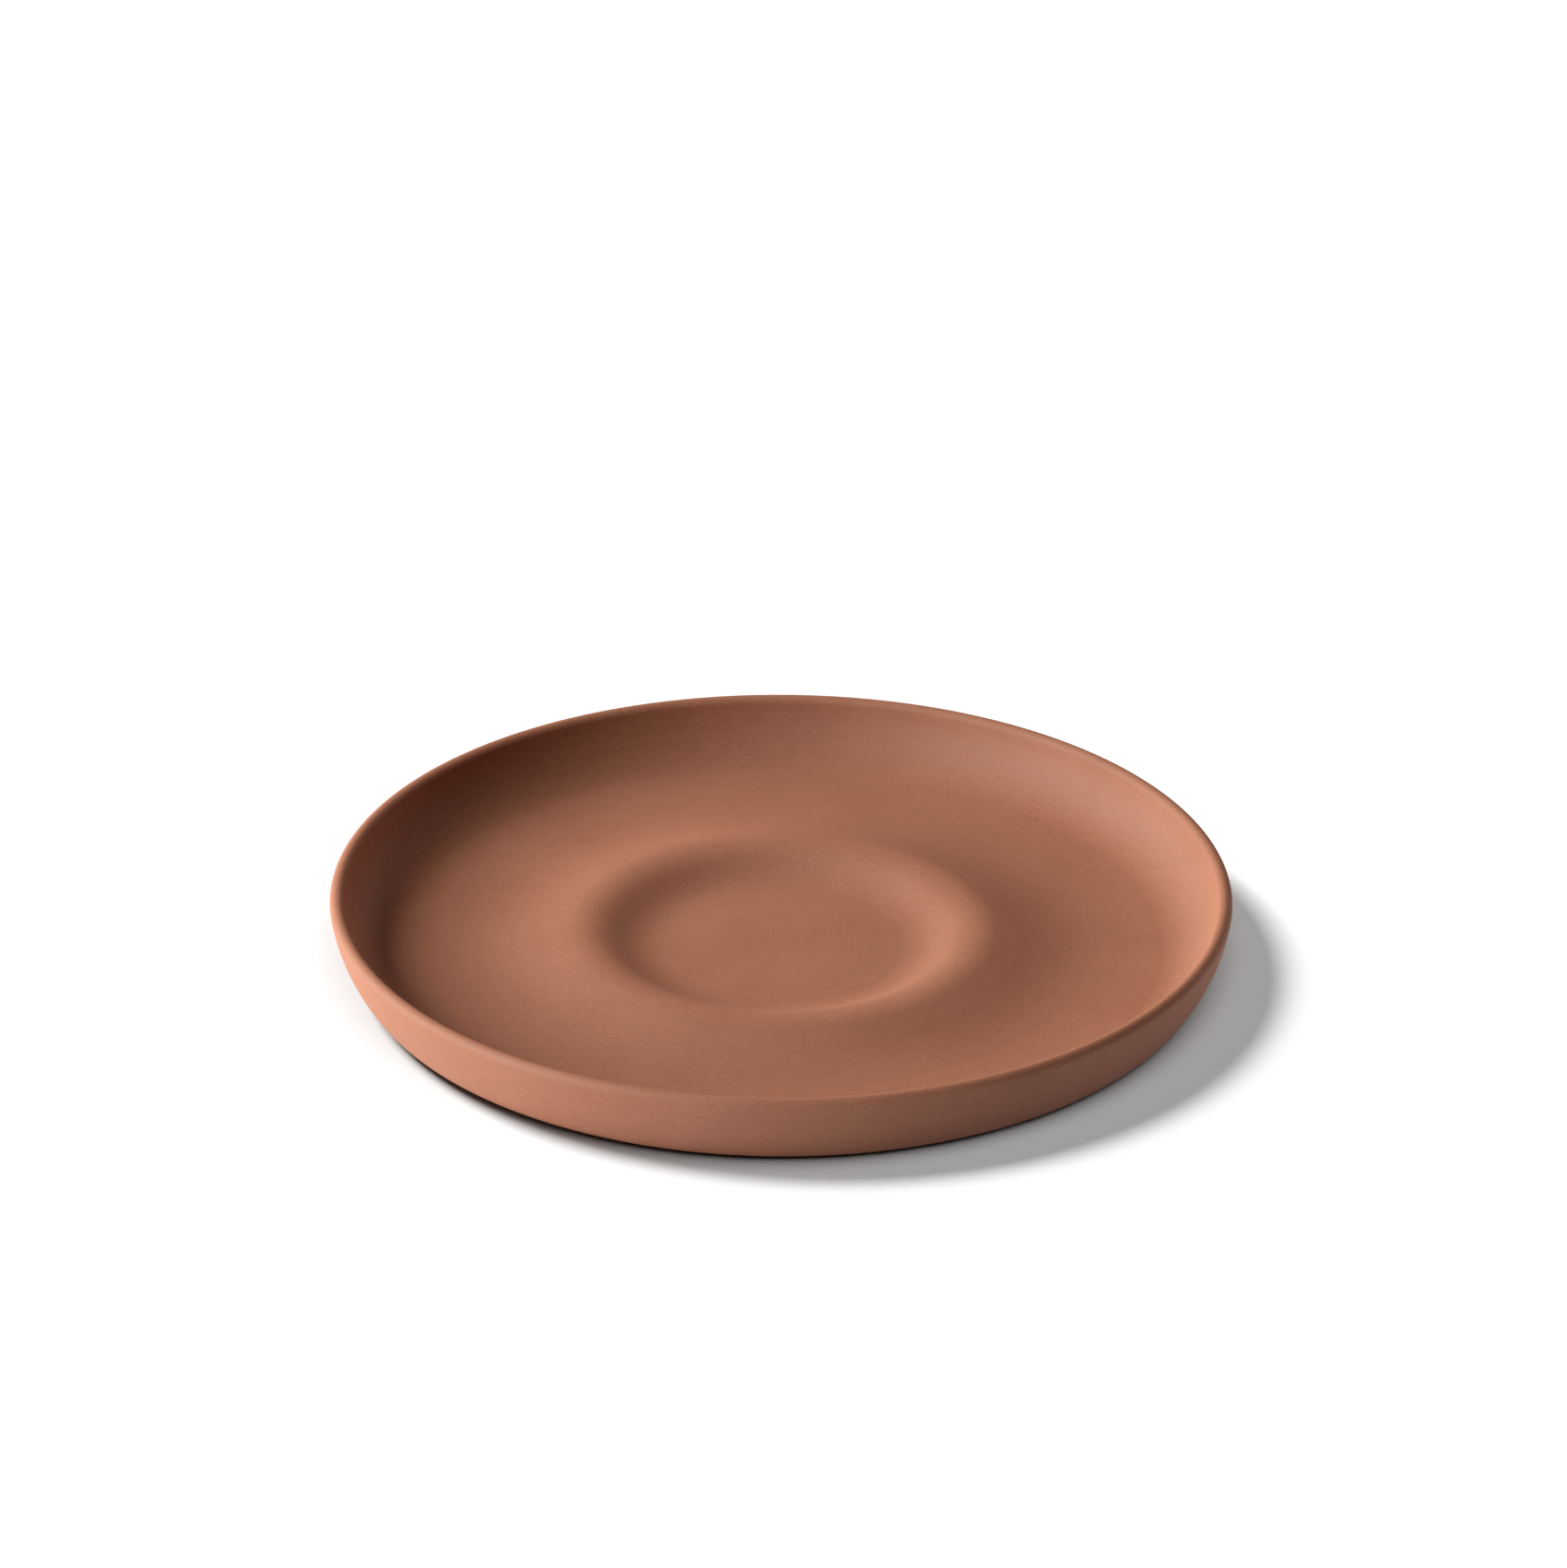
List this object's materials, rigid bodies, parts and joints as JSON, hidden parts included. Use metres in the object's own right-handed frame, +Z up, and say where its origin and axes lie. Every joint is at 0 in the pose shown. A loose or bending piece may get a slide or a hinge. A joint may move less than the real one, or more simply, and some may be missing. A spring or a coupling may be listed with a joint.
{
  "type": "terracotta saucer",
  "caption": "Shallow round terracotta saucer with a thin rounded lip, a steep side wall and a soft raised ring round a seat in the middle for a cup or a small pot.",
  "frame": {"origin": "centre of the foot ring, on the surface that the saucer stands on", "axes": "+Z up along the saucer's axis; the saucer is the same all round, so +X and +Y are free"},
  "size_m": [0.15, 0.15, 0.0135],
  "materials": {
    "terracotta": "unglazed fired clay, fully matte, with a fine even grain"
  },
  "bodies": {
    "root": {"saucer_body": "terracotta"}
  },
  "joints": []
}
